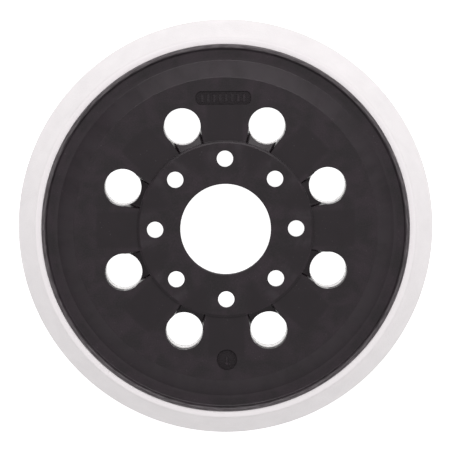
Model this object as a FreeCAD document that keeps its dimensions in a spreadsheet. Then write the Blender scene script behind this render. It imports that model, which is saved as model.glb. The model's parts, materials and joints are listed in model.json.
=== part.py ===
import FreeCAD, Part
import os

import Sketcher

# Backing pad of a random orbital sander, in millimetres.
#
# A glass-filled nylon plate carries a moulded polyurethane foam ring, and a sheet of hooks is bonded
# under the foam with an adhesive film. The pad lies on its hooks: +Z points from the hooks to the
# sander, and the origin is on the axis, at the face that the sanding disc is pressed on to. The first
# screw hole is on +X, and the dust holes stand half a pitch away from the screw holes.

DIMENSIONS = {
    # overall
    "pad_diameter": 122.5,
    "hook_sheet_thickness": 1.8,
    "hook_sheet_inset": 0.3,
    "film_thickness": 0.2,
    "film_inset": 0.5,
    # foam ring
    "foam_depth": 7.4,
    "foam_edge_height": 0.8,
    "foam_land_width": 1.8,
    "foam_shoulder_radius": 1.2,
    "foam_edge_radius": 0.6,
    "foam_hole_inset": 0.1,
    "foam_overhang": 7.15,
    # plate section
    "plate_wall": 2.4,
    "lip_width": 1.0,
    "lip_flank": 0.9,
    "lip_height": 0.9,
    "lip_rise": 0.5,
    "lip_radius": 0.4,
    "foot_width": 2.8,
    "foot_radius": 3.0,
    "flange_run": 4.9,
    "flange_rise": 3.5,
    "hub_rise": 1.0,
    "hub_margin": 4.9,
    "hub_edge_radius": 0.25,
    "bore_diameter": 26.5,
    "bore_edge_radius": 0.3,
    # screw holes and the seats under them
    "screw_count": 8,
    "screw_circle_diameter": 41.3,
    "screw_hole_diameter": 4.8,
    "screw_seat_diameter": 7.6,
    "screw_seat_depth": 0.5,
    "screw_head_room": 4.25,
    # skirt round the foam's opening, and ribs under the hub
    "skirt_wall": 1.2,
    "skirt_depth": 4.6,
    "rib_thickness": 1.6,
    "rib_depth": 2.6,
    "rib_start": 1.5,
    # dust holes, the tubes that line them and the chutes that lead into them
    "dust_count": 8,
    "dust_circle_diameter": 65.0,
    "dust_hole_diameter": 11.2,
    "dust_tube_wall": 1.8,
    "dust_tube_depth": 5.0,
    "chute_slope": 26.0,
    "chute_margin": 0.3,
    "chute_sill": 1.2,
    "chute_reach": 1.4,
    # shallow moulded recesses in the flat ring
    "tablet_length": 16.0,
    "tablet_width": 4.0,
    "tablet_corner": 1.2,
    "tablet_depth": 0.4,
    "tablet_place": 38.2,
    "dial_diameter": 5.9,
    "dial_depth": 0.5,
    "dial_place": 38.4,
}

# Heights above the hook face, and radii, that several pieces share.
FOAM_BOTTOM = "(Sheet.hook_sheet_thickness + Sheet.film_thickness)"
LAND = f"({FOAM_BOTTOM} + Sheet.foam_depth)"
LIP = f"({LAND} + Sheet.lip_rise)"
FOOT = f"({LIP} - Sheet.lip_height)"
RING = f"({FOOT} + Sheet.flange_rise)"
HUB = f"({RING} + Sheet.hub_rise)"
RIM_UNDER = f"({FOOT} - Sheet.plate_wall)"
RING_UNDER = f"({RING} - Sheet.plate_wall)"
HUB_UNDER = f"({HUB} - Sheet.plate_wall)"
SKIRT_END = f"({RING_UNDER} - Sheet.skirt_depth)"
TUBE_END = f"({RING} - Sheet.dust_tube_depth)"
BORE_R = "(Sheet.bore_diameter / 2)"
SCREW_PITCH_R = "(Sheet.screw_circle_diameter / 2)"
HUB_R = f"({SCREW_PITCH_R} + Sheet.hub_margin)"
OPENING_R = f"({SCREW_PITCH_R} + Sheet.screw_head_room)"
SKIRT_R = f"({OPENING_R} + Sheet.skirt_wall)"
PAD_R = "(Sheet.pad_diameter / 2)"
PLATE_R = f"({PAD_R} - Sheet.foam_overhang)"
CREST_R = f"({PLATE_R} - Sheet.lip_width)"
GROOVE_R = f"({CREST_R} - Sheet.lip_flank)"
FOOT_R = f"({GROOVE_R} - Sheet.foot_width)"
SHOULDER_R = f"({FOOT_R} - Sheet.flange_run)"
DUST_PITCH_R = "(Sheet.dust_circle_diameter / 2)"
DUST_R = "(Sheet.dust_hole_diameter / 2)"
TUBE_R = f"({DUST_R} + Sheet.dust_tube_wall)"
FOAM_HOLE_R = f"({DUST_R} - Sheet.foam_hole_inset)"

# Half a pitch of the dust holes, and half a pitch of the screw holes, in degrees.
DUST_TURN = "(180 deg / Sheet.dust_count)"
RIB_TURN = "(180 deg / Sheet.screw_count)"

doc = FreeCAD.newDocument("sanding_pad")
sheet = doc.addObject("Spreadsheet::Sheet", "Sheet")
for row, (name, value) in enumerate(DIMENSIONS.items(), start=1):
    sheet.set(f"A{row}", name)
    sheet.set(f"B{row}", str(value))
    sheet.setAlias(f"B{row}", name)
doc.recompute()


def size(expression):
    """The value of an expression in the sheet's names, in millimetres or degrees."""
    value = sheet.evalExpression(expression)
    return float(getattr(value, "Value", value))


def origin_feature(body, role):
    """One of a body's own origin planes or axes."""
    return next(feature for feature in body.Origin.OriginFeatures if feature.Role == role)


def new_body(name):
    """An empty body whose label names its file."""
    body = doc.addObject("PartDesign::Body", name)
    body.Label = name
    return body


def new_sketch(body, name, role, turn=None, lift=None):
    """A sketch on one of the body's origin planes, lifted off it or turned about the body's axis."""
    sketch = body.newObject("Sketcher::SketchObject", name)
    sketch.AttachmentSupport = [(origin_feature(body, role), "")]
    sketch.MapMode = "FlatFace"
    if turn:
        axis = FreeCAD.Vector(0, 1, 0) if role == "XZ_Plane" else FreeCAD.Vector(0, 0, 1)
        sketch.AttachmentOffset = FreeCAD.Placement(FreeCAD.Vector(), FreeCAD.Rotation(axis, 1))
        sketch.setExpression("AttachmentOffset.Rotation.Angle", turn)
    if lift:
        sketch.setExpression("AttachmentOffset.Base.z", lift)
    return sketch


def bind(sketch, constraint, name, expression):
    """Adds a dimension whose value follows the sheet."""
    index = sketch.addConstraint(constraint)
    sketch.renameConstraint(index, name)
    sketch.setExpression(f"Constraints.{name}", expression)


def add_outline(sketch, corners):
    """A closed outline through corners, each a pair of expressions measured from the sketch's origin."""
    points = [FreeCAD.Vector(size(across), size(up), 0) for across, up in corners]
    count = len(points)
    for i, point in enumerate(points):
        sketch.addGeometry(Part.LineSegment(point, points[(i + 1) % count]), False)
    for i in range(count):
        sketch.addConstraint(Sketcher.Constraint("Coincident", i, 2, (i + 1) % count, 1))
    for i, (across, up) in enumerate(corners):
        bind(sketch, Sketcher.Constraint("DistanceX", -1, 1, i, 1, points[i].x), f"across_{i}", across)
        bind(sketch, Sketcher.Constraint("DistanceY", -1, 1, i, 1, points[i].y), f"up_{i}", up)


def add_circle(sketch, radius, across=None):
    """A circle centred on the sketch's origin, or at a distance across from it along the X axis."""
    centre = FreeCAD.Vector(size(across) if across else 0, 0, 0)
    circle = sketch.addGeometry(Part.Circle(centre, FreeCAD.Vector(0, 0, 1), size(radius)), False)
    if across:
        sketch.addConstraint(Sketcher.Constraint("PointOnObject", circle, 3, -1))
        distance = Sketcher.Constraint("DistanceX", -1, 1, circle, 3, centre.x)
        bind(sketch, distance, f"across_{circle}", across)
    else:
        sketch.addConstraint(Sketcher.Constraint("Coincident", circle, 3, -1, 1))
    bind(sketch, Sketcher.Constraint("Radius", circle, size(radius)), f"radius_{circle}", radius)


def revolve(body, sketch, name):
    """The sketch's outline turned all the way round the body's axis."""
    feature = body.newObject("PartDesign::Revolution", name)
    feature.Profile = sketch
    feature.ReferenceAxis = (sketch, ["V_Axis"])
    feature.Angle = 360
    return feature


def pad(body, sketch, name, length):
    """The sketch's outline raised along +Z."""
    feature = body.newObject("PartDesign::Pad", name)
    feature.Profile = sketch
    feature.setExpression("Length", length)
    return feature


def cut_up(body, sketch, name, length=None):
    """The sketch's outline cut along +Z, all the way or for a length."""
    feature = body.newObject("PartDesign::Pocket", name)
    feature.Profile = sketch
    feature.Reversed = True
    if length:
        feature.setExpression("Length", length)
    else:
        feature.Type = "ThroughAll"
    return feature


def cut_down(body, sketch, name, length):
    """The sketch's outline cut along -Z for a length."""
    feature = body.newObject("PartDesign::Pocket", name)
    feature.Profile = sketch
    feature.setExpression("Length", length)
    return feature


def round_the_axis(body, feature, name, count):
    """The feature repeated evenly about the body's axis, as the body's last step."""
    before = volume_of(body)
    pattern = body.newObject("PartDesign::PolarPattern", name)
    pattern.Originals = [feature]
    pattern.Axis = (origin_feature(body, "Z_Axis"), [""])
    pattern.Angle = 360
    pattern.setExpression("Occurrences", count)
    body.Tip = pattern
    check_changed(body, before, name)


def volume_of(body):
    doc.recompute()
    return body.Shape.Volume


def check_changed(body, before, name):
    """Stops the build if a feature left its body as it was."""
    if abs(volume_of(body) - before) < 1e-3:
        raise RuntimeError(f"{name} changed nothing in {body.Label}")


def fillet_circles(body, name, radius, circles):
    """Rounds the body's circular edges about its axis, each given by its radius and height."""
    doc.recompute()
    wanted = [(size(edge_radius), size(height)) for edge_radius, height in circles]
    edges = []
    for i, edge in enumerate(body.Tip.Shape.Edges, start=1):
        curve = edge.Curve
        if not isinstance(curve, Part.Circle) or curve.Center.x ** 2 + curve.Center.y ** 2 > 1e-9:
            continue
        if any(abs(curve.Radius - r) < 1e-4 and abs(curve.Center.z - z) < 1e-4 for r, z in wanted):
            edges.append(f"Edge{i}")
    if len(edges) < len(circles):
        raise RuntimeError(f"{name} found {len(edges)} of its {len(circles)} edges")
    base = body.Tip
    fillet = body.newObject("PartDesign::Fillet", name)
    fillet.Base = (base, edges)
    fillet.setExpression("Radius", radius)


def cut_dust_holes(body, radius):
    """Eight through holes for the dust, on their own circle."""
    sketch = new_sketch(body, f"{body.Name}_dust_sketch", "XY_Plane", turn=DUST_TURN)
    add_circle(sketch, radius, DUST_PITCH_R)
    hole = cut_up(body, sketch, f"{body.Name}_dust_hole")
    round_the_axis(body, hole, f"{body.Name}_dust_holes", "Sheet.dust_count")


def make_plate():
    """The nylon moulding."""
    body = new_body("backing_plate")
    section = new_sketch(body, "plate_section", "XZ_Plane")
    corners = [
        (BORE_R, HUB),
        (HUB_R, HUB),
        (HUB_R, RING),
        (SHOULDER_R, RING),
        (FOOT_R, FOOT),
        (GROOVE_R, FOOT),
        (CREST_R, LIP),
        (PLATE_R, LIP),
        (PLATE_R, RIM_UNDER),
        (FOOT_R, RIM_UNDER),
        (SHOULDER_R, RING_UNDER),
        (SKIRT_R, RING_UNDER),
        (SKIRT_R, SKIRT_END),
        (OPENING_R, SKIRT_END),
        (OPENING_R, HUB_UNDER),
        (BORE_R, HUB_UNDER),
    ]
    add_outline(section, corners)
    revolve(body, section, "plate_disc")
    fillet_circles(body, "foot_fillet", "Sheet.foot_radius", [(FOOT_R, FOOT)])
    fillet_circles(body, "lip_fillet", "Sheet.lip_radius", [(CREST_R, LIP), (PLATE_R, LIP)])
    fillet_circles(body, "hub_fillet", "Sheet.hub_edge_radius", [(HUB_R, HUB)])
    fillet_circles(body, "bore_fillet", "Sheet.bore_edge_radius", [(BORE_R, HUB)])
    add_ribs(body)
    add_dust_tubes(body)
    cut_chutes(body)
    cut_dust_holes(body, DUST_R)
    cut_screw_holes(body)
    cut_recesses(body)
    return body


def add_ribs(body):
    """Radial ribs under the hub, midway between the screw holes, from near the bore into the skirt."""
    sketch = new_sketch(body, "rib_sketch", "XY_Plane", turn=RIB_TURN, lift=f"{HUB_UNDER} - Sheet.rib_depth")
    start = f"({BORE_R} + Sheet.rib_start)"
    end = f"({OPENING_R} + Sheet.skirt_wall / 2)"
    half = "(Sheet.rib_thickness / 2)"
    add_outline(sketch, [(start, f"-{half}"), (end, f"-{half}"), (end, half), (start, half)])
    rib = pad(body, sketch, "rib", "Sheet.rib_depth + Sheet.plate_wall / 2")
    round_the_axis(body, rib, "ribs", "Sheet.screw_count")


def add_dust_tubes(body):
    """Tubes under the flat ring that line the dust holes part of the way through the foam."""
    sketch = new_sketch(body, "tube_sketch", "XY_Plane", turn=DUST_TURN, lift=TUBE_END)
    add_circle(sketch, TUBE_R, DUST_PITCH_R)
    tube = pad(body, sketch, "dust_tube", "Sheet.dust_tube_depth - Sheet.plate_wall / 2")
    round_the_axis(body, tube, "dust_tubes", "Sheet.dust_count")


def cut_chutes(body):
    """Sloping floors that fall into each dust hole from the hub's edge, or from the chute's reach."""
    sketch = new_sketch(body, "chute_sketch", "XZ_Plane", turn=DUST_TURN)
    start = f"max({HUB_R}; {DUST_PITCH_R} - {DUST_R} - Sheet.chute_reach)"
    sill = f"({RING} - Sheet.chute_sill)"
    above = f"({RING} + Sheet.hub_rise / 2)"
    drop = f"(({DUST_PITCH_R} - {start}) * tan(Sheet.chute_slope * 1 deg))"
    corners = [
        (start, sill),
        (DUST_PITCH_R, f"{sill} - {drop}"),
        (DUST_PITCH_R, above),
        (start, above),
    ]
    add_outline(sketch, corners)
    chute = body.newObject("PartDesign::Groove", "chute")
    chute.Profile = sketch
    chute.ReferenceAxis = (sketch, ["V_Axis"])
    chute.Midplane = True
    chute.setExpression("Angle", f"2 * asin(({DUST_R} - Sheet.chute_margin) / {DUST_PITCH_R})")
    round_the_axis(body, chute, "chutes", "Sheet.dust_count")


def cut_screw_holes(body):
    """Clearance holes for the sander's screws, each with a shallow seat for the screw's head below."""
    through = new_sketch(body, "screw_sketch", "XY_Plane")
    add_circle(through, "Sheet.screw_hole_diameter / 2", SCREW_PITCH_R)
    hole = cut_up(body, through, "screw_hole")
    round_the_axis(body, hole, "screw_holes", "Sheet.screw_count")
    under = new_sketch(body, "seat_sketch", "XY_Plane", lift=f"{HUB_UNDER} - Sheet.rib_depth")
    add_circle(under, "Sheet.screw_seat_diameter / 2", SCREW_PITCH_R)
    seat = cut_up(body, under, "screw_seat", "Sheet.rib_depth + Sheet.screw_seat_depth")
    round_the_axis(body, seat, "screw_seats", "Sheet.screw_count")


def cut_recesses(body):
    """Two shallow recesses in the flat ring: a tablet on +Y and a round dial on -Y."""
    before = volume_of(body)
    tablet = new_sketch(body, "tablet_sketch", "XY_Plane", lift=f"{RING}")
    half_length = "(Sheet.tablet_length / 2)"
    half_width = "(Sheet.tablet_width / 2)"
    cut = "Sheet.tablet_corner"
    low = f"(Sheet.tablet_place - {half_width})"
    high = f"(Sheet.tablet_place + {half_width})"
    corners = [
        (f"{cut} - {half_length}", low),
        (f"{half_length} - {cut}", low),
        (half_length, f"{low} + {cut}"),
        (half_length, f"{high} - {cut}"),
        (f"{half_length} - {cut}", high),
        (f"{cut} - {half_length}", high),
        (f"-{half_length}", f"{high} - {cut}"),
        (f"-{half_length}", f"{low} + {cut}"),
    ]
    add_outline(tablet, corners)
    cut_down(body, tablet, "tablet_recess", "Sheet.tablet_depth")
    check_changed(body, before, "tablet_recess")
    before = volume_of(body)
    dial = new_sketch(body, "dial_sketch", "XY_Plane", turn="-90 deg", lift=f"{RING}")
    add_circle(dial, "Sheet.dial_diameter / 2", "Sheet.dial_place")
    cut_down(body, dial, "dial_recess", "Sheet.dial_depth")
    check_changed(body, before, "dial_recess")


def make_foam():
    """The foam ring, moulded round the plate's rim, skirt and dust tubes."""
    body = new_body("foam_cushion")
    section = new_sketch(body, "foam_section", "XZ_Plane")
    land_r = f"({PLATE_R} + Sheet.foam_land_width)"
    edge = f"({FOAM_BOTTOM} + Sheet.foam_edge_height)"
    corners = [
        (OPENING_R, FOAM_BOTTOM),
        (PAD_R, FOAM_BOTTOM),
        (PAD_R, edge),
        (land_r, LAND),
        (PLATE_R, LAND),
        (PLATE_R, RIM_UNDER),
        (FOOT_R, RIM_UNDER),
        (SHOULDER_R, RING_UNDER),
        (SKIRT_R, RING_UNDER),
        (SKIRT_R, SKIRT_END),
        (OPENING_R, SKIRT_END),
    ]
    add_outline(section, corners)
    revolve(body, section, "foam_ring")
    fillet_circles(body, "shoulder_fillet", "Sheet.foam_shoulder_radius", [(land_r, LAND)])
    fillet_circles(body, "edge_fillet", "Sheet.foam_edge_radius", [(PAD_R, edge)])
    sketch = new_sketch(body, "socket_sketch", "XY_Plane", turn=DUST_TURN, lift=TUBE_END)
    add_circle(sketch, TUBE_R, DUST_PITCH_R)
    socket = cut_up(body, sketch, "tube_socket")
    round_the_axis(body, socket, "tube_sockets", "Sheet.dust_count")
    cut_dust_holes(body, FOAM_HOLE_R)
    return body


def make_layer(name, height, thickness, outer_radius):
    """A flat ring under the foam, with the foam's opening and dust holes."""
    body = new_body(name)
    sketch = new_sketch(body, f"{name}_sketch", "XY_Plane", lift=height)
    add_circle(sketch, outer_radius)
    add_circle(sketch, OPENING_R)
    pad(body, sketch, f"{name}_ring", thickness)
    cut_dust_holes(body, FOAM_HOLE_R)
    return body


def check(pieces):
    """Stops the build if any object failed or any piece isn't one sound solid."""
    doc.recompute()
    for item in doc.Objects:
        if "Invalid" in item.State or "Error" in item.State:
            raise RuntimeError(f"{item.Name} failed: {item.State}")
    for piece in pieces:
        shape = piece.Shape
        if shape.isNull() or not shape.isValid() or len(shape.Solids) != 1:
            raise RuntimeError(f"{piece.Label} isn't one valid solid")


film_height = "Sheet.hook_sheet_thickness"
pieces = [
    make_plate(),
    make_foam(),
    make_layer("adhesive_film", film_height, "Sheet.film_thickness", f"{PAD_R} - Sheet.film_inset"),
    make_layer("hook_sheet", None, "Sheet.hook_sheet_thickness", f"{PAD_R} - Sheet.hook_sheet_inset"),
]
check(pieces)
os.makedirs("parts", exist_ok=True)
for piece in pieces:
    piece.Shape.exportStep(f"parts/{piece.Label}.step")
    print(f"{piece.Label}: {piece.Shape.Volume:.0f} cubic mm")
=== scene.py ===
import json
import math

import bpy
import numpy as np
from mathutils import Matrix, Vector


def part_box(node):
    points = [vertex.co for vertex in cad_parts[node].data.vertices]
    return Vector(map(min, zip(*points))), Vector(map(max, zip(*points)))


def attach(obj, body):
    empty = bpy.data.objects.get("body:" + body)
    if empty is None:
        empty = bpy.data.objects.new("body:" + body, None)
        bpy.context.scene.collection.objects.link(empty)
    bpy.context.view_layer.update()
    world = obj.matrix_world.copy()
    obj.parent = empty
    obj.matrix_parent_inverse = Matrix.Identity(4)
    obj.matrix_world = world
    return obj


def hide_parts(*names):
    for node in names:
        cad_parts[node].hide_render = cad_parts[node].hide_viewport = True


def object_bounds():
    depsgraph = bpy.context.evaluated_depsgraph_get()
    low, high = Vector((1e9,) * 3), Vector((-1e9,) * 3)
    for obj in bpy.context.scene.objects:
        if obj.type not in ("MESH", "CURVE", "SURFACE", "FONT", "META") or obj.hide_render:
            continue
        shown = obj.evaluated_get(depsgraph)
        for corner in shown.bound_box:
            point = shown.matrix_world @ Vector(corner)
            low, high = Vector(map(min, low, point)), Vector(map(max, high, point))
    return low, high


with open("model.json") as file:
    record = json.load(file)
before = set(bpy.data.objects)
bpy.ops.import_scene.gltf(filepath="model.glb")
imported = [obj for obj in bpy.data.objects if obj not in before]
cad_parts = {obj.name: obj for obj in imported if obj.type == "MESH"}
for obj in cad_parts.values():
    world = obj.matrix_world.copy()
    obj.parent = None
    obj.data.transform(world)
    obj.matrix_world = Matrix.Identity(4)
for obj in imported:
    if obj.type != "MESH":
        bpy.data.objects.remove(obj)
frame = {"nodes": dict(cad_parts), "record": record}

# Backing pad of a random orbital sander, seen from the side that bolts to the machine.
# Lengths are in millimetres here, and MM turns them into Blender's metres.
MM = 0.001
cad_low, cad_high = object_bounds()
mounts = {mount["name"]: mount for mount in frame["record"]["mounts"]}
openings = {opening["name"]: opening for opening in frame["record"]["physics"]["openings"]}


def middle_of(box):
    """The middle of a stated opening, in millimetres."""
    return [(low + high) / 2 / MM for low, high in zip(*box)]


# Heights and radii that come from the frame.
_, PLATE_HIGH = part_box("backing_plate")
FOAM_LOW, FOAM_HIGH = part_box("foam_cushion")
_, HOOKS_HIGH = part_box("hook_sheet")
HUB = PLATE_HIGH.z / MM
RING = mounts["dust_hole_circle"]["pos_m"][2] / MM
LAND = FOAM_HIGH.z / MM
FOAM_BOTTOM = FOAM_LOW.z / MM
HOOK_TOP = HOOKS_HIGH.z / MM
PAD_R = FOAM_HIGH.x / MM
PLATE_R = PLATE_HIGH.x / MM
HOOK_SHEET_R = HOOKS_HIGH.x / MM
SCREW_PITCH = mounts["screw_circle"]["dims"]["pcd_mm"] / 2
SCREW_R = mounts["screw_circle"]["dims"]["hole_r_mm"]
SCREW_COUNT = mounts["screw_circle"]["dims"]["count"]
BORE_R = mounts["centre_bore"]["dims"]["r_mm"]
DUST_PITCH = math.hypot(*middle_of(openings["dust_hole_1"]["box_m"])[:2])
DUST_COUNT = sum(name.startswith("dust_hole") for name in openings)

# The plate's section.
WALL = 2.4
HUB_R = SCREW_PITCH + 4.9
HUB_CHAMFER = 0.3
HUB_FOOT_R = HUB_R + HUB_CHAMFER
OPENING_R = SCREW_PITCH + 4.25
SKIRT_R = OPENING_R + 1.2
LIP = LAND + 0.5
FOOT = LIP - 0.9
CREST_R = PLATE_R - 1.0
GROOVE_R = CREST_R - 0.6
FOOT_R = CREST_R - 3.7
SHOULDER_R = FOOT_R - 4.9
HUB_UNDER = HUB - WALL
RING_UNDER = RING - WALL
RIM_UNDER = FOOT - WALL
SKIRT_END = RING_UNDER - 4.6

# Holes, the tubes that line them, the seats of the screws' heads, and the chutes.
RIM_FLARE = 0.12
DUST_R = 5.45
TUBE_R = DUST_R + 1.8
TUBE_END = RING - 5.0
FOAM_HOLE_R = DUST_R - 0.1
SEAT_R = 3.8
SEAT_DEPTH = 0.5
CHUTE_SLOPE = math.radians(26)
CHUTE_SILL = 1.2
CHUTE_DRAFT = math.radians(9)
CHUTE_EASE = 0.15
CHUTE_FILLET = 0.55
CHUTE_HALF = math.asin((DUST_R - 0.85) / DUST_PITCH)
DUST_TURN = math.pi / DUST_COUNT
RIB_TURN = math.pi / SCREW_COUNT

# Mesh fineness. A cutter's ends lie a hair past the face they cut and its corners are turned a
# little, so that the two never share a plane or an edge.
AROUND = 288
ROUND_STEPS = 5
HOLE_STEPS = 96
HAIR = 0.01
CUTTER_TURN = 0.02


# ---------------------------------------------------------------- modelling by hand

def deselect_all():
    if bpy.context.object and bpy.context.object.mode != "OBJECT":
        bpy.ops.object.mode_set(mode="OBJECT")
    bpy.ops.object.select_all(action="DESELECT")


def pick(*objects):
    """Selects these objects only, and makes the first one active."""
    deselect_all()
    for item in objects:
        item.select_set(True)
    bpy.context.view_layer.objects.active = objects[0]


def edit(item, mode="VERT"):
    pick(item)
    bpy.ops.object.mode_set(mode="EDIT")
    bpy.ops.mesh.select_mode(type=mode)


def edit_where(item, kind, test):
    """Edit mode, with only those vertices, edges or faces selected whose corners all pass the test."""
    edit(item, kind)
    bpy.ops.mesh.select_all(action="DESELECT")
    bpy.ops.object.mode_set(mode="OBJECT")
    mesh = item.data
    corners = [vertex.co / MM for vertex in mesh.vertices]
    if kind == "VERT":
        mesh.vertices.foreach_set("select", [test(*corner) for corner in corners])
    for part in mesh.edges if kind == "EDGE" else mesh.polygons if kind == "FACE" else ():
        part.select = all(test(*corners[i]) for i in part.vertices)
    bpy.ops.object.mode_set(mode="EDIT")


def delete_vertices(item, unwanted):
    """Deletes the vertices that are flagged as unwanted."""
    edit(item)
    bpy.ops.mesh.select_all(action="DESELECT")
    bpy.ops.object.mode_set(mode="OBJECT")
    item.data.vertices.foreach_set("select", unwanted)
    bpy.ops.object.mode_set(mode="EDIT")
    bpy.ops.mesh.delete(type="VERT")
    bpy.ops.object.mode_set(mode="OBJECT")


def settle(item, name):
    """Puts the piece's place into its mesh and names it."""
    pick(item)
    bpy.ops.object.transform_apply(location=True, rotation=True, scale=True)
    item.name = name
    item.data.name = name
    return item


def rounded(corners):
    """An outline's points from its corners (radius, height, rounding), with each rounding as an arc."""
    points = []
    count = len(corners)
    for i, (across, up, rounding) in enumerate(corners):
        here = Vector((across, up))
        before = Vector(corners[i - 1][:2]) - here
        after = Vector(corners[(i + 1) % count][:2]) - here
        if rounding == 0:
            points.append(tuple(here))
            continue
        half = before.angle(after) / 2
        back = min(rounding / math.tan(half), 0.49 * before.length, 0.49 * after.length)
        radius = back * math.tan(half)
        centre = here + (before.normalized() + after.normalized()).normalized() * (radius / math.sin(half))
        start = here + before.normalized() * back - centre
        sweep = start.angle_signed(here + after.normalized() * back - centre)
        for step in range(ROUND_STEPS + 1):
            turn = -sweep * step / ROUND_STEPS
            arm = Vector((start.x * math.cos(turn) - start.y * math.sin(turn),
                          start.x * math.sin(turn) + start.y * math.cos(turn)))
            points.append(tuple(centre + arm))
    return points


def grow_rings(outline):
    """Extrudes the selected ring from point to point of the outline, scaling it to each radius."""
    for (r0, z0), (r1, z1) in zip(outline, outline[1:]):
        rise = (0, 0, (z1 - z0) * MM)
        bpy.ops.mesh.extrude_region_move(TRANSFORM_OT_translate={"value": rise})
        bpy.ops.transform.resize(value=(r1 / r0, r1 / r0, 1), center_override=(0, 0, 0))


def turned_ring(name, corners, steps=AROUND):
    """A closed ring with that section: one circle extruded and scaled all the way round the outline."""
    outline = rounded(corners)
    deselect_all()
    first_r, first_z = outline[0]
    bpy.ops.mesh.primitive_circle_add(
        vertices=steps, radius=first_r * MM, fill_type="NOTHING", location=(0, 0, first_z * MM))
    ring = settle(bpy.context.object, name)
    edit(ring)
    bpy.ops.mesh.select_all(action="SELECT")
    grow_rings(outline)
    bpy.ops.mesh.select_all(action="DESELECT")
    bpy.ops.mesh.select_non_manifold()
    bpy.ops.mesh.bridge_edge_loops()
    bpy.ops.mesh.select_all(action="SELECT")
    bpy.ops.mesh.normals_make_consistent(inside=False)
    bpy.ops.object.mode_set(mode="OBJECT")
    return ring


def turned_plug(name, outline, steps=64):
    """A closed solid of revolution on the axis, built up from a filled circle.

    It is turned a little, so that its corners miss the straight edges of the piece it cuts or joins.
    """
    deselect_all()
    first_r, first_z = outline[0]
    bpy.ops.mesh.primitive_circle_add(
        vertices=steps, radius=first_r * MM, fill_type="NGON", location=(0, 0, first_z * MM),
        rotation=(0, 0, CUTTER_TURN))
    plug = settle(bpy.context.object, name)
    edit(plug, "FACE")
    bpy.ops.mesh.select_all(action="SELECT")
    grow_rings(outline)
    bpy.ops.mesh.select_all(action="SELECT")
    bpy.ops.mesh.normals_make_consistent(inside=False)
    bpy.ops.object.mode_set(mode="OBJECT")
    return plug


def shift(item, x=0.0, y=0.0, z=0.0):
    item.data.transform(Matrix.Translation(Vector((x, y, z)) * MM))


def ring_of(item, count, start):
    """Copies of a piece round the axis, joined into one, the first one turned by start."""
    copies = []
    for i in range(count):
        pick(item)
        bpy.ops.object.duplicate()
        copy = bpy.context.object
        copy.data.transform(Matrix.Rotation(start + 2 * math.pi * i / count, 4, "Z"))
        copies.append(copy)
    bpy.data.objects.remove(item)
    pick(*copies)
    bpy.ops.object.join()
    return bpy.context.object


def combine(piece, tool, operation):
    """Cuts a tool out of a piece or adds it on, and removes the tool."""
    modifier = piece.modifiers.new(operation.lower(), "BOOLEAN")
    modifier.operation = operation
    modifier.solver = "EXACT"
    modifier.use_self = False
    modifier.object = tool
    pick(piece)
    bpy.ops.object.modifier_apply(modifier=modifier.name)
    bpy.data.objects.remove(tool)


def smooth(piece, angle=32):
    """Smooth shading up to an angle, with the large flat faces kept flat."""
    pick(piece)
    bpy.ops.object.shade_smooth_by_angle(angle=math.radians(angle))
    weighted = piece.modifiers.new("weighted", "WEIGHTED_NORMAL")
    weighted.keep_sharp = True
    bpy.ops.object.modifier_apply(modifier=weighted.name)


def flared(radius, low, high, flare, beyond=2.0):
    """The outline of a hole's cutter: it flares at both faces, which rounds the hole's rims."""
    low -= HAIR
    high += HAIR
    quarter = [math.radians(a) for a in (0, 22.5, 45, 67.5, 90)]
    outline = [(radius + flare, low - beyond)]
    outline += [(radius + flare * (1 - math.sin(a)), low + flare * (1 - math.cos(a))) for a in quarter]
    outline += [(radius + flare * (1 - math.cos(a)), high - flare * (1 - math.sin(a))) for a in quarter]
    outline.append((radius + flare, high + beyond))
    return outline


def hole_cutters(name, radius, pitch, count, start, low, high, flare, steps=64):
    cutter = turned_plug(name, flared(radius, low, high, flare), steps)
    shift(cutter, x=pitch)
    return ring_of(cutter, count, start)


# ---------------------------------------------------------------- the nylon plate

def plate_disc():
    return turned_ring("backing_plate_moulding", [
        (BORE_R, HUB, 0.3),
        (HUB_R - HUB_CHAMFER, HUB, 0.05),
        (HUB_FOOT_R, HUB - HUB_CHAMFER, 0.05),
        (HUB_FOOT_R, RING, 0.2),
        (SHOULDER_R, RING, 0.35),
        (FOOT_R, FOOT, 0.3),
        (GROOVE_R, FOOT, 0.5),
        (CREST_R, LIP, 0.45),
        (PLATE_R, LIP, 0.4),
        (PLATE_R, RIM_UNDER, 0.3),
        (FOOT_R, RIM_UNDER, 1.5),
        (SHOULDER_R, RING_UNDER, 1.5),
        (SKIRT_R, RING_UNDER, 0.3),
        (SKIRT_R, SKIRT_END, 0.25),
        (OPENING_R, SKIRT_END, 0.25),
        (OPENING_R, HUB_UNDER, 0.4),
        (BORE_R, HUB_UNDER, 0.3),
    ])


def block(name, x0, x1, y0, y1, z0, z1, soften=0.0):
    """A box between those limits, with its edges softened if asked."""
    deselect_all()
    bpy.ops.mesh.primitive_cube_add(size=MM)
    box = bpy.context.object
    box.scale = (x1 - x0, y1 - y0, z1 - z0)
    box.location = Vector(((x0 + x1) / 2, (y0 + y1) / 2, (z0 + z1) / 2)) * MM
    settle(box, name)
    if soften:
        edit(box)
        bpy.ops.mesh.select_all(action="SELECT")
        bpy.ops.mesh.bevel(offset=soften * MM, segments=2, affect="EDGES")
        bpy.ops.object.mode_set(mode="OBJECT")
    return box


def ribs():
    """Ribs under the hub, sunk a little into the wall above them and into the skirt."""
    half, deep, sunk = 0.8, 2.6, 0.8
    low, high = HUB_UNDER - deep, HUB_UNDER + sunk
    rib = block("rib", BORE_R + 1.5, OPENING_R + 0.6, -half, half, low, high, 0.2)
    return ring_of(rib, SCREW_COUNT, RIB_TURN)


def dust_tubes():
    tube = turned_plug("tube", [(TUBE_R, TUBE_END), (TUBE_R, RING - WALL / 2)])
    shift(tube, x=DUST_PITCH)
    return ring_of(tube, DUST_COUNT, DUST_TURN)


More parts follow.
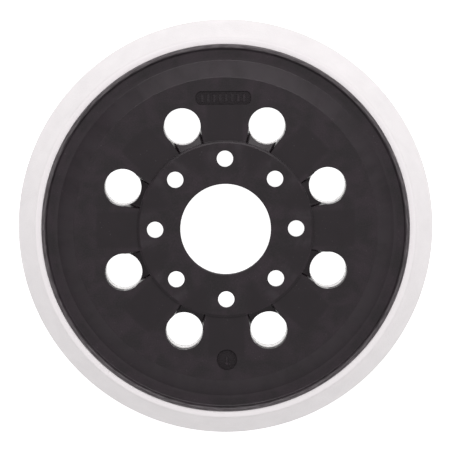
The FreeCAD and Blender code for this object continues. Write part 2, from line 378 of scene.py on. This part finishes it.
def chute_cutters():
    """Wedges that sink the sloping floors from the hub to the dust holes.

    The walls open out from where a chute would have no depth. The top edge of each is eased, and a
    fillet runs along its foot.
    """
    inner = HUB_FOOT_R + 0.03
    above = 0.4
    wall_tops = CHUTE_HALF * 0.93
    wall_feet = CHUTE_HALF * 0.98
    floor_in = RING - CHUTE_SILL
    drop = (DUST_PITCH - inner) * math.tan(CHUTE_SLOPE)
    deselect_all()
    bpy.ops.mesh.primitive_plane_add(size=MM, rotation=(math.pi / 2, 0, 0))
    wedge = bpy.context.object
    wedge.scale = (DUST_PITCH - inner, RING + above - floor_in, 1)
    wedge.location = Vector(((DUST_PITCH + inner) / 2, 0, (RING + above + floor_in) / 2)) * MM
    settle(wedge, "chute")
    edit_where(wedge, "VERT", lambda x, y, z: x > inner + 1 and z < RING)
    bpy.ops.transform.translate(value=(0, 0, -drop * MM))
    bpy.ops.object.mode_set(mode="OBJECT")
    wedge.data.transform(Matrix.Rotation(CHUTE_HALF, 4, "Z"))
    edit(wedge)
    bpy.ops.mesh.select_all(action="SELECT")
    bpy.ops.mesh.spin(steps=12, angle=2 * CHUTE_HALF, center=(0, 0, 0), axis=(0, 0, 1))
    for height in (RING + HAIR, RING - CHUTE_EASE):
        bpy.ops.mesh.select_all(action="SELECT")
        bpy.ops.mesh.bisect(plane_co=(0, 0, height * MM), plane_no=(0, 0, 1), threshold=1e-6)
    bpy.ops.object.mode_set(mode="OBJECT")
    start_r = inner - CHUTE_SILL / math.tan(CHUTE_SLOPE)
    opening_turn = math.atan(math.tan(CHUTE_SLOPE) * math.tan(CHUTE_DRAFT))
    for side in (1, -1):
        along = Vector((math.cos(CHUTE_HALF), side * math.sin(CHUTE_HALF), 0)) * MM
        outward = Vector((-math.sin(CHUTE_HALF), side * math.cos(CHUTE_HALF), 0)) * MM
        edit_where(wedge, "VERT", lambda x, y, z: (
            z > RING - CHUTE_EASE - HAIR and side * math.atan2(y, x) > wall_tops))
        bpy.ops.transform.rotate(
            value=-side * opening_turn, orient_axis="Z", center_override=along * start_r)
        bpy.ops.object.mode_set(mode="OBJECT")
        edit_where(wedge, "VERT", lambda x, y, z: z > RING - HAIR and side * math.atan2(y, x) > wall_tops)
        bpy.ops.transform.translate(value=outward * CHUTE_EASE)
        bpy.ops.object.mode_set(mode="OBJECT")
    edit_where(wedge, "EDGE", lambda x, y, z: (
        z < RING - CHUTE_EASE - 0.1 and abs(math.atan2(y, x)) > wall_feet))
    bpy.ops.mesh.bevel(offset=CHUTE_FILLET * MM, segments=4, affect="EDGES")
    bpy.ops.mesh.select_all(action="SELECT")
    bpy.ops.mesh.normals_make_consistent(inside=False)
    bpy.ops.object.mode_set(mode="OBJECT")
    return ring_of(wedge, DUST_COUNT, DUST_TURN)


def tablet_cutter():
    """The long recess, with plain upright bars left standing in it."""
    length, width, depth, corner = 16.3, 4.0, 0.4, 1.6
    middle_x, middle_y = -0.3, 38.4
    bars, bar_pitch, bar_half, bar_reach = 8, 1.75, 0.42, 1.15
    floor, bar_top = RING - depth, RING - 0.26
    deselect_all()
    bpy.ops.mesh.primitive_plane_add(size=MM)
    tablet = bpy.context.object
    tablet.scale = (length, width, 1)
    tablet.location = Vector((middle_x, middle_y, floor)) * MM
    settle(tablet, "tablet")
    edit(tablet)
    bpy.ops.mesh.select_all(action="SELECT")
    bpy.ops.mesh.bevel(offset=corner * MM, segments=6, affect="VERTICES")
    bpy.ops.mesh.select_all(action="SELECT")
    rise = (0, 0, (depth + 1) * MM)
    bpy.ops.mesh.extrude_region_move(TRANSFORM_OT_translate={"value": rise})
    bpy.ops.mesh.select_all(action="SELECT")
    bpy.ops.mesh.normals_make_consistent(inside=False)
    bpy.ops.object.mode_set(mode="OBJECT")
    for i in range(bars):
        x = middle_x + (i - (bars - 1) / 2) * bar_pitch
        bar = block("bar", x - bar_half, x + bar_half, middle_y - bar_reach, middle_y + bar_reach,
                    floor - 0.5, bar_top, 0.08)
        combine(tablet, bar, "DIFFERENCE")
    return tablet


def dial_cutter():
    """The round recess, with a pointer and a ring of pips left standing in it."""
    radius, ease, place = 2.95, 0.12, 38.55
    floor = RING - 0.5
    below = floor - 0.5
    pointer_top = RING - 0.22
    dial = turned_plug("dial", [
        (radius, floor), (radius, RING - ease), (radius + ease, RING + HAIR), (radius + ease, RING + 1)])
    pip = turned_plug("pip", [(0.2, below), (0.2, RING - 0.3), (0.1, RING - 0.24)], 12)
    shift(pip, x=2.3)
    combine(dial, ring_of(pip, 12, 0), "DIFFERENCE")
    shaft = block("shaft", -0.16, 0.16, -1.5, 0.9, below, pointer_top, 0.06)
    combine(dial, shaft, "DIFFERENCE")
    head = turned_plug("head", [(0.62, below), (0.62, pointer_top)], 3)
    head.data.transform(Matrix.Rotation(math.radians(180), 4, "Z"))
    shift(head, y=-1.2)
    combine(dial, head, "DIFFERENCE")
    shift(dial, y=-place)
    return dial


def make_plate():
    plate = plate_disc()
    combine(plate, ribs(), "UNION")
    combine(plate, dust_tubes(), "UNION")
    combine(plate, chute_cutters(), "DIFFERENCE")
    dust = hole_cutters(
        "dust", DUST_R, DUST_PITCH, DUST_COUNT, DUST_TURN, TUBE_END, RING, RIM_FLARE, HOLE_STEPS)
    combine(plate, dust, "DIFFERENCE")
    seat_top = HUB_UNDER + SEAT_DEPTH
    screws = hole_cutters("screws", SCREW_R, SCREW_PITCH, SCREW_COUNT, 0, seat_top, HUB, RIM_FLARE)
    combine(plate, screws, "DIFFERENCE")
    seat = turned_plug("seat", [(SEAT_R, HUB_UNDER - 3), (SEAT_R, seat_top)], 48)
    shift(seat, x=SCREW_PITCH)
    combine(plate, ring_of(seat, SCREW_COUNT, 0), "DIFFERENCE")
    combine(plate, tablet_cutter(), "DIFFERENCE")
    combine(plate, dial_cutter(), "DIFFERENCE")
    smooth(plate)
    return plate


# ---------------------------------------------------------------- the foam ring

def make_foam():
    land_r = PLATE_R + 1.8
    upright_rim = 0.8
    foam = turned_ring("foam_ring", [
        (OPENING_R, FOAM_BOTTOM, 0.2),
        (PAD_R, FOAM_BOTTOM, 0.3),
        (PAD_R, FOAM_BOTTOM + upright_rim, 0.5),
        (land_r, LAND, 1.2),
        (PLATE_R, LAND, 0.1),
        (PLATE_R, RIM_UNDER, 0.3),
        (FOOT_R, RIM_UNDER, 1.5),
        (SHOULDER_R, RING_UNDER, 1.5),
        (SKIRT_R, RING_UNDER, 0.3),
        (SKIRT_R, SKIRT_END, 0.2),
        (OPENING_R, SKIRT_END, 0.2),
    ])
    socket = turned_plug("socket", [(TUBE_R, TUBE_END), (TUBE_R, HUB)], HOLE_STEPS)
    shift(socket, x=DUST_PITCH)
    combine(foam, ring_of(socket, DUST_COUNT, DUST_TURN), "DIFFERENCE")
    holes = hole_cutters("holes", FOAM_HOLE_R, DUST_PITCH, DUST_COUNT, DUST_TURN,
                         FOAM_BOTTOM, TUBE_END, 0.15, HOLE_STEPS)
    combine(foam, holes, "DIFFERENCE")
    smooth(foam)
    return foam


# ---------------------------------------------------------------- the hook sheet

HOOK_PITCH = 1.45
HOOK_WIDTH = 0.26
HOOK_STRAY = 0.16
BACKING = 0.55

# The hook's bends: how far each goes across and down, and how much thinner the hook gets there.
HOOK_BENDS = [(0.02, -0.55, 0.85), (0.06, -0.42, 0.9), (0.2, -0.25, 1), (0.25, -0.03, 1), (0.16, 0.2, 0.8)]
HOOK_CORNERS = 4 * (len(HOOK_BENDS) + 1)


def hook_backing():
    backing = turned_ring("hook_sheet_backing", [
        (OPENING_R, HOOK_TOP - BACKING, 0.1),
        (HOOK_SHEET_R, HOOK_TOP - BACKING, 0.15),
        (HOOK_SHEET_R, HOOK_TOP, 0.05),
        (OPENING_R, HOOK_TOP, 0.05),
    ])
    holes = hole_cutters("holes", FOAM_HOLE_R, DUST_PITCH, DUST_COUNT, DUST_TURN,
                         HOOK_TOP - BACKING, HOOK_TOP, 0.08, HOLE_STEPS)
    combine(backing, holes, "DIFFERENCE")
    smooth(backing)
    return backing


def one_hook():
    """A stiff hook: a short square stem that bends over and points back down."""
    top = HOOK_TOP - BACKING + 0.1
    deselect_all()
    bpy.ops.mesh.primitive_plane_add(size=HOOK_WIDTH * MM, location=(0, 0, top * MM))
    hook = settle(bpy.context.object, "hook")
    edit(hook, "FACE")
    bpy.ops.mesh.select_all(action="SELECT")
    for x, z, size in HOOK_BENDS:
        move = (x * MM, 0, z * MM)
        bpy.ops.mesh.extrude_region_move(TRANSFORM_OT_translate={"value": move})
        bpy.ops.transform.resize(value=(size, size, size))
    bpy.ops.mesh.select_all(action="SELECT")
    bpy.ops.mesh.normals_make_consistent(inside=False)
    bpy.ops.object.mode_set(mode="OBJECT")
    return hook


def hook_field():
    """Rows of hooks over the sheet, without those that would stand over a hole or past an edge."""
    clear_of_edge, clear_of_hole = 1.0, 0.8
    hook = one_hook()
    rows = int(2 * HOOK_SHEET_R / HOOK_PITCH) + 1
    for axis in range(2):
        array = hook.modifiers.new("rows", "ARRAY")
        array.count = rows
        array.use_relative_offset = False
        array.use_constant_offset = True
        array.constant_offset_displace = [HOOK_PITCH * MM if i == axis else 0 for i in range(3)]
        pick(hook)
        bpy.ops.object.modifier_apply(modifier=array.name)
    half = (rows - 1) / 2 * HOOK_PITCH
    shift(hook, x=-half, y=-half)
    points = np.empty(len(hook.data.vertices) * 3)
    hook.data.vertices.foreach_get("co", points)
    points = points.reshape(-1, HOOK_CORNERS, 3)
    random = np.random.default_rng(7)
    points[:, :, :2] += random.uniform(-HOOK_STRAY, HOOK_STRAY, (len(points), 1, 2)) * MM
    column = np.rint((points[:, 0, 1] / MM + half) / HOOK_PITCH).astype(int)
    centre = points[:, :1, :].copy()
    flip = np.where(column % 2 == 0, 1.0, -1.0)[:, None]
    points[:, :, 0] = centre[:, :, 0] + (points[:, :, 0] - centre[:, :, 0]) * flip
    hook.data.vertices.foreach_set("co", points.ravel())
    base = centre[:, 0, :2] / MM
    reach = np.hypot(base[:, 0], base[:, 1])
    keep = (reach < HOOK_SHEET_R - clear_of_edge) & (reach > OPENING_R + clear_of_edge)
    for i in range(DUST_COUNT):
        angle = DUST_TURN + 2 * math.pi * i / DUST_COUNT
        place = np.array([math.cos(angle), math.sin(angle)]) * DUST_PITCH
        keep &= np.hypot(*(base - place).T) > FOAM_HOLE_R + clear_of_hole
    delete_vertices(hook, np.repeat(~keep, HOOK_CORNERS))
    edit(hook)
    bpy.ops.mesh.select_all(action="SELECT")
    bpy.ops.mesh.normals_make_consistent(inside=False)
    bpy.ops.object.mode_set(mode="OBJECT")
    return hook


def split_hooks(field):
    """The field in quarters, so that each piece stays light."""
    quarters = []
    for i, (sx, sy) in enumerate(((1, 1), (-1, 1), (-1, -1), (1, -1)), start=1):
        pick(field)
        bpy.ops.object.duplicate()
        part = settle(bpy.context.object, f"hooks_{i}")
        points = np.empty(len(part.data.vertices) * 3)
        part.data.vertices.foreach_get("co", points)
        feet = points.reshape(-1, HOOK_CORNERS, 3)[:, 0]
        elsewhere = (feet[:, 0] * sx < 0) | (feet[:, 1] * sy < 0)
        delete_vertices(part, np.repeat(elsewhere, HOOK_CORNERS))
        quarters.append(part)
    bpy.data.objects.remove(field)
    return quarters


# ---------------------------------------------------------------- materials

class Nodes:
    """A node tree, with short ways to add its nodes."""

    def __init__(self, tree):
        self.tree = tree

    def add(self, kind, sockets=None, **settings):
        """A node of that kind, with its settings, and its sockets fed with values or other sockets."""
        node = self.tree.nodes.new(kind)
        for name, value in settings.items():
            setattr(node, name, value)
        for name, value in (sockets or {}).items():
            self.feed(node.inputs[name], value)
        return node

    def feed(self, socket, value):
        if isinstance(value, bpy.types.NodeSocket):
            self.tree.links.new(value, socket)
        else:
            socket.default_value = value

    def math(self, operation, *values):
        node = self.tree.nodes.new("ShaderNodeMath")
        node.operation = operation
        for socket, value in zip(node.inputs, values):
            self.feed(socket, value)
        return node.outputs[0]

    def product(self, first, *others):
        for other in others:
            first = self.math("MULTIPLY", first, other)
        return first

    def total(self, first, *others):
        for other in others:
            first = self.math("ADD", first, other)
        return first

    def ramp(self, value, low, high, out_low=0.0, out_high=1.0):
        """A smooth step from one output to another as a value goes from low to high."""
        node = self.add("ShaderNodeMapRange", interpolation_type="SMOOTHSTEP")
        for socket, number in zip(node.inputs, (value, low, high, out_low, out_high)):
            self.feed(socket, number)
        return node.outputs[0]

    def fall(self, value, low, high):
        """A smooth step down from one to nought."""
        return self.ramp(value, low, high, 1.0, 0.0)

    def noise(self, vector, scale, detail=3.0, roughness=0.5, distortion=0.0):
        sockets = {"Vector": vector, "Scale": scale, "Detail": detail, "Roughness": roughness,
                   "Distortion": distortion}
        return self.add("ShaderNodeTexNoise", sockets).outputs["Fac"]

    def mix(self, factor, low, high):
        """A blend of two colours."""
        node = self.add("ShaderNodeMix", data_type="RGBA")
        self.feed(node.inputs["Factor"], factor)
        self.feed(node.inputs["A"], low)
        self.feed(node.inputs["B"], high)
        return node.outputs["Result"]


def new_group(name, inputs, outputs):
    """A shader node group with those sockets: each is a name, a kind and a first value."""
    tree = bpy.data.node_groups.new(name, "ShaderNodeTree")
    for label, kind, value in inputs:
        socket = tree.interface.new_socket(label, in_out="INPUT", socket_type=kind)
        if value is not None:
            socket.default_value = value
    for label, kind in outputs:
        tree.interface.new_socket(label, in_out="OUTPUT", socket_type=kind)
    nodes = Nodes(tree)
    return nodes, nodes.add("NodeGroupInput").outputs, nodes.add("NodeGroupOutput").inputs


FLOAT, VECTOR = "NodeSocketFloat", "NodeSocketVector"
CLOUDS_PER_MM = 0.16
STREAK_STRETCH = 0.09


def group_pad_place():
    """Where a point is on the pad: its radius, angle and height in millimetres and radians.

    Across is how far it lies from the middle line of the nearest of eight spokes.
    """
    nodes, given, out = new_group(
        "pad_place", [("Vector", VECTOR, None)],
        [("Radius", FLOAT), ("Angle", FLOAT), ("Across", FLOAT), ("Height", FLOAT)])
    place = nodes.add("ShaderNodeSeparateXYZ", {0: given["Vector"]}).outputs
    x = nodes.product(place["X"], 1 / MM)
    y = nodes.product(place["Y"], 1 / MM)
    radius = nodes.math("SQRT", nodes.total(nodes.product(x, x), nodes.product(y, y)))
    angle = nodes.math("ARCTAN2", y, x)
    pitch = 2 * math.pi / DUST_COUNT
    turns = nodes.math("DIVIDE", angle, pitch)
    offset = nodes.product(nodes.math("SUBTRACT", turns, nodes.math("ROUND", turns)), pitch)
    across = nodes.math("ABSOLUTE", nodes.product(radius, nodes.math("SINE", offset)))
    nodes.feed(out["Radius"], radius)
    nodes.feed(out["Angle"], angle)
    nodes.feed(out["Across"], across)
    nodes.feed(out["Height"], nodes.product(place["Z"], 1 / MM))
    return nodes.tree


def group_moulded_grain():
    """The skin of a moulded surface: a fine grain, with broad soft unevenness under it."""
    nodes, given, out = new_group(
        "moulded_grain",
        [("Vector", VECTOR, None), ("Grain per mm", FLOAT, 3.0), ("Grain", FLOAT, 0.5),
         ("Unevenness", FLOAT, 0.5)],
        [("Height", FLOAT), ("Speckle", FLOAT), ("Cloud", FLOAT)])
    scale = nodes.product(given["Grain per mm"], 1 / MM)
    speckle = nodes.noise(given["Vector"], scale, 2.0, 0.6)
    cloud = nodes.noise(given["Vector"], CLOUDS_PER_MM / MM, 3.0, 0.55, 0.4)
    fine = nodes.product(speckle, given["Grain"])
    broad = nodes.product(cloud, given["Unevenness"])
    nodes.feed(out["Height"], nodes.total(fine, broad))
    nodes.feed(out["Speckle"], speckle)
    nodes.feed(out["Cloud"], cloud)
    return nodes.tree


def group_flow_streaks():
    """Faint marks that run outwards where the melt flowed: noise drawn out along the radius."""
    nodes, given, out = new_group(
        "flow_streaks", [("Radius", FLOAT, 0.0), ("Angle", FLOAT, 0.0), ("Streaks per turn", FLOAT, 60.0)],
        [("Streak", FLOAT)])
    turns = nodes.math("DIVIDE", given["Angle"], 2 * math.pi)
    around = nodes.product(turns, given["Streaks per turn"])
    along = nodes.product(given["Radius"], STREAK_STRETCH)
    place = nodes.add("ShaderNodeCombineXYZ", {"X": around, "Y": along, "Z": 3.7}).outputs[0]
    nodes.feed(out["Streak"], nodes.noise(place, 1.0, 3.0, 0.55, 0.3))
    return nodes.tree


GROUPS = {"place": group_pad_place(), "grain": group_moulded_grain(), "streaks": group_flow_streaks()}


def new_material(name):
    material = bpy.data.materials.new(name)
    material.use_nodes = True
    material.node_tree.nodes.clear()
    nodes = Nodes(material.node_tree)
    shader = nodes.add("ShaderNodeBsdfPrincipled")
    nodes.add("ShaderNodeOutputMaterial", {"Surface": shader.outputs[0]})
    return material, nodes, shader.inputs, nodes.add("ShaderNodeTexCoord").outputs["Object"]


def use(nodes, group, **sockets):
    """Adds a group. An underscore in a socket's name here stands for the space in the real one."""
    named = {name.replace("_", " "): value for name, value in sockets.items()}
    return nodes.add("ShaderNodeGroup", named, node_tree=GROUPS[group]).outputs


# The nylon's colours.
NYLON_DARKEST = (0.0008, 0.0001, 0.0003, 1)
NYLON_PALEST = (0.0185, 0.0105, 0.0160, 1)
# Darker polished tone of the panels and patches; the same colour is painted shade on the chute floors and
# darkens the recess floors.
NYLON_DARKER_TONE_AND_SHADE = (0.0030, 0.0001, 0.0018, 1)
NYLON_WIPED = (0.0190, 0.0150, 0.0180, 1)
# Paler nylon of the melt streaks on the cone, laid over the whole cone as well, where it is painted sheen.
NYLON_FLOW_AND_SHEEN = (0.0165, 0.0120, 0.0150, 1)
# Pale grey on the rim lip: scuffs, and painted glints of the broken highlights there.
NYLON_SCUFF_AND_GLINT = (0.125, 0.118, 0.121, 1)
GLASS_FLECK = (0.050, 0.046, 0.048, 1)


def nylon_zones(nodes, radius, across, height):
    """The parts of the plate that look different, each as a number from nought to one.

    Panels lie on the ring between the dust holes, patches on the hub in line with those holes, and
    strips on the hub beside the screw holes.
    """
    ramp, fall, product = nodes.ramp, nodes.fall, nodes.product
    on_hub = fall(radius, HUB_R - 0.6, HUB_R)
    off_hub = nodes.math("SUBTRACT", 1.0, on_hub)
    near_recesses = product(ramp(radius, 34.8, 35.3), fall(radius, 42.0, 42.4))
    strip = product(ramp(across, 2.4, 3.4), fall(across, 4.2, 5.4))
    return {
        "panel": product(fall(across, 4.7, 5.9), fall(radius, 37.4, 38.5), off_hub),
        "patch": product(ramp(across, 4.2, 7.5), ramp(radius, 16.0, 19.5), on_hub),
        "strip": product(strip, ramp(radius, 19.0, 22.0), on_hub),
        "recess": product(fall(height, RING - 0.30, RING - 0.22), near_recesses),
        "chute": product(fall(height, RING - 0.9, RING - 0.5), fall(radius, 38.5, 39.0)),
        "flange": product(ramp(radius, SHOULDER_R - 0.3, SHOULDER_R + 0.5),
                          fall(radius, FOOT_R + 0.3, FOOT_R + 1.3)),
        "lip": ramp(radius, GROOVE_R - 0.1, CREST_R + 0.2),
    }


def nylon_colour(nodes, here, zone, grain, streak, scuff_and_glint_streak):
    """Mottled near-black, with places laid over it: a darker polished tone on the panels and patches,
    painted shade on the chute floors and darkened recess floors, wiped and flecked places, melt streaks
    with painted sheen on the cone, and scuffs with painted glints on the lip.
    """
    cloud, product = grain["Cloud"], nodes.product
    # Painted shade: the chute floors are darkened where their walls shade them, and the recess floors are
    # darkened too; panels and patches take a darker polished tone.
    darker_tone_and_shade = nodes.total(product(zone["panel"], 0.8), product(zone["patch"], 0.9))
    darker_tone_and_shade = nodes.math("MAXIMUM", darker_tone_and_shade, nodes.math("MAXIMUM", zone["recess"], product(zone["chute"], 0.8)))
    mottle = nodes.total(product(nodes.ramp(cloud, 0.34, 0.66), 0.55),
                         product(nodes.ramp(grain["Speckle"], 0.3, 0.7), 0.45))
    wiped = product(zone["strip"], nodes.ramp(cloud, 0.38, 0.6, 0.1, 0.8))
    flecks = nodes.ramp(nodes.noise(here, 2.0 / MM, 1.0, 0.5), 0.70, 0.76)
    # Painted sheen: the whole cone is lightened at no less than 0.35, with melt streaks on top.
    flow_and_sheen = product(zone["flange"], nodes.ramp(streak, 0.35, 0.65, 0.35, 1.0))
    # Painted glints with scuffs: broken pale streaks round the lip.
    scuffs_and_glints = product(zone["lip"], nodes.ramp(scuff_and_glint_streak, 0.35, 0.68, 0.3, 1.0))
    base = nodes.mix(mottle, NYLON_DARKEST, NYLON_PALEST)
    for amount, colour in (
            (darker_tone_and_shade, NYLON_DARKER_TONE_AND_SHADE),
            (wiped, NYLON_WIPED),
            (product(flecks, nodes.ramp(cloud, 0.5, 0.62)), GLASS_FLECK),
            (flow_and_sheen, NYLON_FLOW_AND_SHEEN),
            (scuffs_and_glints, NYLON_SCUFF_AND_GLINT)):
        base = nodes.mix(amount, base, colour)
    return base


def nylon():
    """Black glass-filled nylon: satin, with a moulded grain, and spark-eroded floors in the recesses."""
    material, nodes, shader, here = new_material("black_glass_filled_nylon")
    place = use(nodes, "place", Vector=here)
    radius, angle = place["Radius"], place["Angle"]
    zone = nylon_zones(nodes, radius, place["Across"], place["Height"])
    grain = use(nodes, "grain", Vector=here, Grain_per_mm=2.4, Grain=0.4, Unevenness=0.25)
    streak = use(nodes, "streaks", Radius=radius, Angle=angle, Streaks_per_turn=70.0)["Streak"]
    # Streaks that place the scuffs and painted glints on the lip.
    short_marks = nodes.product(radius, 40.0)
    scuff_and_glint_streak = use(nodes, "streaks", Radius=short_marks, Angle=angle, Streaks_per_turn=110.0)["Streak"]
    nodes.feed(shader["Base Color"], nylon_colour(nodes, here, zone, grain, streak, scuff_and_glint_streak))

    uneven = nodes.total(nodes.product(streak, 0.16), nodes.product(grain["Cloud"], 0.1), 0.3)
    rough = nodes.total(uneven, nodes.product(zone["chute"], -0.08), nodes.product(zone["recess"], 0.2),
                        nodes.product(zone["flange"], -0.04))
    nodes.feed(shader["Roughness"], rough)

    skin = nodes.add("ShaderNodeBump", {"Strength": 0.35, "Distance": 0.00004, "Height": grain["Height"]})
    coarse = nodes.product(nodes.noise(here, 3.2 / MM, 3.0, 0.7), zone["recess"])
    sparked = nodes.add("ShaderNodeBump", {"Strength": 1.0, "Distance": 0.00022, "Height": coarse,
                                           "Normal": skin.outputs[0]})
    nodes.feed(shader["Normal"], sparked.outputs[0])
    return material


def foam_skin():
    """White polyurethane foam with its moulded skin: matt and finely pored, palest on the flat land, with
    painted shade making the sloping side greyer.
    """
    material, nodes, shader, here = new_material("white_foam_skin")
    grain = use(nodes, "grain", Vector=here, Grain_per_mm=1.9, Grain=0.8, Unevenness=0.5)
    radius = use(nodes, "place", Vector=here)["Radius"]
    # Painted shade: the sloping side of the foam is greyer than the flat land.
    shaded_flank = nodes.mix(grain["Cloud"], (0.71, 0.712, 0.702, 1), (0.82, 0.822, 0.81, 1))
    on_land = nodes.fall(radius, PLATE_R + 1.4, PLATE_R + 2.1)
    base = nodes.mix(on_land, shaded_flank, (0.96, 0.965, 0.95, 1))
    nodes.feed(shader["Base Color"], base)
    nodes.feed(shader["Roughness"], nodes.ramp(grain["Speckle"], 0.3, 0.7, 0.55, 0.7))
    bump = nodes.add("ShaderNodeBump", {"Strength": 0.6, "Distance": 0.00012, "Height": grain["Height"]})
    nodes.feed(shader["Normal"], bump.outputs[0])
    return material


def adhesive():
    """Cured adhesive, slightly yellow and glossy."""
    material, nodes, shader, here = new_material("cured_adhesive")
    grain = use(nodes, "grain", Vector=here, Grain_per_mm=1.5, Grain=0.5, Unevenness=0.5)
    nodes.feed(shader["Base Color"], nodes.mix(grain["Cloud"], (0.55, 0.5, 0.36, 1), (0.66, 0.62, 0.5, 1)))
    nodes.feed(shader["Roughness"], nodes.ramp(grain["Speckle"], 0.3, 0.7, 0.25, 0.45))
    return material


def hook_nylon(name, low, high):
    """Dark nylon of the hooks and their woven backing."""
    material, nodes, shader, here = new_material(name)
    grain = use(nodes, "grain", Vector=here, Grain_per_mm=3.0, Grain=0.6, Unevenness=0.3)
    threads = {"Vector": here, "Scale": 0.7 / MM / 6.283, "Distortion": 0.6}
    warp = nodes.add("ShaderNodeTexWave", threads, bands_direction="X").outputs["Fac"]
    weft = nodes.add("ShaderNodeTexWave", threads, bands_direction="Y").outputs["Fac"]
    weave = nodes.product(warp, weft)
    nodes.feed(shader["Base Color"], nodes.mix(nodes.product(weave, grain["Cloud"]), low, high))
    nodes.feed(shader["Roughness"], nodes.ramp(grain["Speckle"], 0.3, 0.7, 0.4, 0.6))
    bump = nodes.add("ShaderNodeBump", {"Strength": 0.6, "Distance": 0.00015, "Height": weave})
    nodes.feed(shader["Normal"], bump.outputs[0])
    return material


def dress(piece, material):
    piece.data.materials.clear()
    piece.data.materials.append(material)


# ---------------------------------------------------------------- the object

plate = make_plate()
foam = make_foam()
backing = hook_backing()
hooks = split_hooks(hook_field())

dress(plate, nylon())
dress(foam, foam_skin())
dress(backing, hook_nylon("hook_sheet_weave", (0.02, 0.02, 0.022, 1), (0.06, 0.06, 0.065, 1)))
hook_material = hook_nylon("hook_nylon", (0.05, 0.05, 0.055, 1), (0.09, 0.09, 0.1, 1))
for quarter in hooks:
    dress(quarter, hook_material)
dress(frame["nodes"]["adhesive_film"], adhesive())

for piece in (plate, foam, backing, *hooks):
    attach(piece, "root")
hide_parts("backing_plate")
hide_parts("foam_cushion")
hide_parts("hook_sheet")


# ---------------------------------------------------------------- floor, light and camera

def floor_material():
    """A pale, evenly lit table: it glows as a light table does, and is clear from below."""
    material = bpy.data.materials.new("pale_table")
    material.use_nodes = True
    material.node_tree.nodes.clear()
    nodes = Nodes(material.node_tree)
    matt = nodes.add("ShaderNodeBsdfDiffuse", {"Color": (0.75, 0.75, 0.75, 1)}).outputs[0]
    glow = nodes.add("ShaderNodeEmission", {"Color": (1, 1, 1, 1), "Strength": 0.95}).outputs[0]
    table = nodes.add("ShaderNodeAddShader", {0: matt, 1: glow}).outputs[0]
    clear = nodes.add("ShaderNodeBsdfTransparent").outputs[0]
    under = nodes.add("ShaderNodeNewGeometry").outputs["Backfacing"]
    seen = nodes.add("ShaderNodeMixShader", {0: under, 1: table, 2: clear}).outputs[0]
    nodes.add("ShaderNodeOutputMaterial", {"Surface": seen})
    return material


def make_floor():
    """The table, a hair below the object."""
    deselect_all()
    bpy.ops.mesh.primitive_plane_add(size=6, location=(0, 0, cad_low.z - 0.1 * MM))
    floor = settle(bpy.context.object, "floor")
    dress(floor, floor_material())


LIGHT_COLOUR = (1.0, 0.945, 0.977)


def softbox(name, azimuth, elevation, power, size=1.0, distance=2.0):
    """A round soft light that faces the object from that direction, in degrees from +X towards +Y."""
    azimuth, elevation = math.radians(azimuth), math.radians(elevation)
    level = math.cos(elevation)
    place = distance * Vector((level * math.cos(azimuth), level * math.sin(azimuth), math.sin(elevation)))
    deselect_all()
    bpy.ops.object.light_add(type="AREA", location=place)
    light = bpy.context.object
    light.name = name
    light.data.shape = "DISK"
    light.data.size = size
    light.data.energy = power
    light.data.color = LIGHT_COLOUR
    light.rotation_euler = (-place).to_track_quat("-Z", "Y").to_euler()


def make_dome():
    """A pale dome: brightest overhead and near the table, and most near the table along X.

    A little more comes from +X and from -Y.
    """
    world = bpy.data.worlds.new("studio_dome")
    world.use_nodes = True
    nodes = Nodes(world.node_tree)
    direction = nodes.add("ShaderNodeTexCoord").outputs["Generated"]
    towards = nodes.add("ShaderNodeSeparateXYZ", {0: direction}).outputs
    up = nodes.math("MAXIMUM", towards["Z"], 0.0)
    overhead = nodes.product(nodes.math("POWER", up, 2.6), 0.71)
    along_x = nodes.math("POWER", nodes.math("ABSOLUTE", towards["X"]), 4.0)
    near_table = nodes.math("POWER", nodes.math("SUBTRACT", 1.0, up), 2.0)
    low = nodes.product(near_table, nodes.total(nodes.product(along_x, 0.6), 0.88))
    front = nodes.math("MAXIMUM", nodes.product(towards["Y"], -0.22), 0.0)
    right = nodes.math("MAXIMUM", nodes.product(towards["X"], 0.1), 0.0)
    strength = nodes.total(overhead, low, front, right)
    background = world.node_tree.nodes["Background"]
    background.inputs["Color"].default_value = (*LIGHT_COLOUR, 1)
    nodes.feed(background.inputs["Strength"], strength)
    bpy.context.scene.world = world


def make_lights():
    make_dome()
    softbox("key_light_right", 71, 51, 10.0, 0.85)
    softbox("key_light_left", 109, 51, 8.0, 0.85)
    softbox("side_light", 40, 38, 1.0)


def make_camera():
    """A long lens almost straight above, leaning towards +Y."""
    distance = 1.0
    seen_width = 0.13375
    sensor_width = 36
    lean = math.radians(4.3)
    roll = math.radians(-0.55)
    aim = Vector((0.12, 0.13, 2.5)) * MM
    bpy.ops.object.camera_add()
    camera = bpy.context.object
    camera.name = "camera"
    camera.location = aim + Vector((0, math.sin(lean), math.cos(lean))) * distance
    turn = Matrix.Rotation(-lean, 3, "X") @ Matrix.Rotation(roll, 3, "Z")
    camera.rotation_euler = turn.to_euler()
    camera.data.sensor_width = sensor_width
    camera.data.lens = sensor_width * distance / seen_width
    camera.data.clip_start = 0.05
    camera.data.clip_end = 20
    bpy.context.scene.camera = camera


make_floor()
make_lights()
make_camera()
bpy.context.scene.view_settings.view_transform = "Standard"
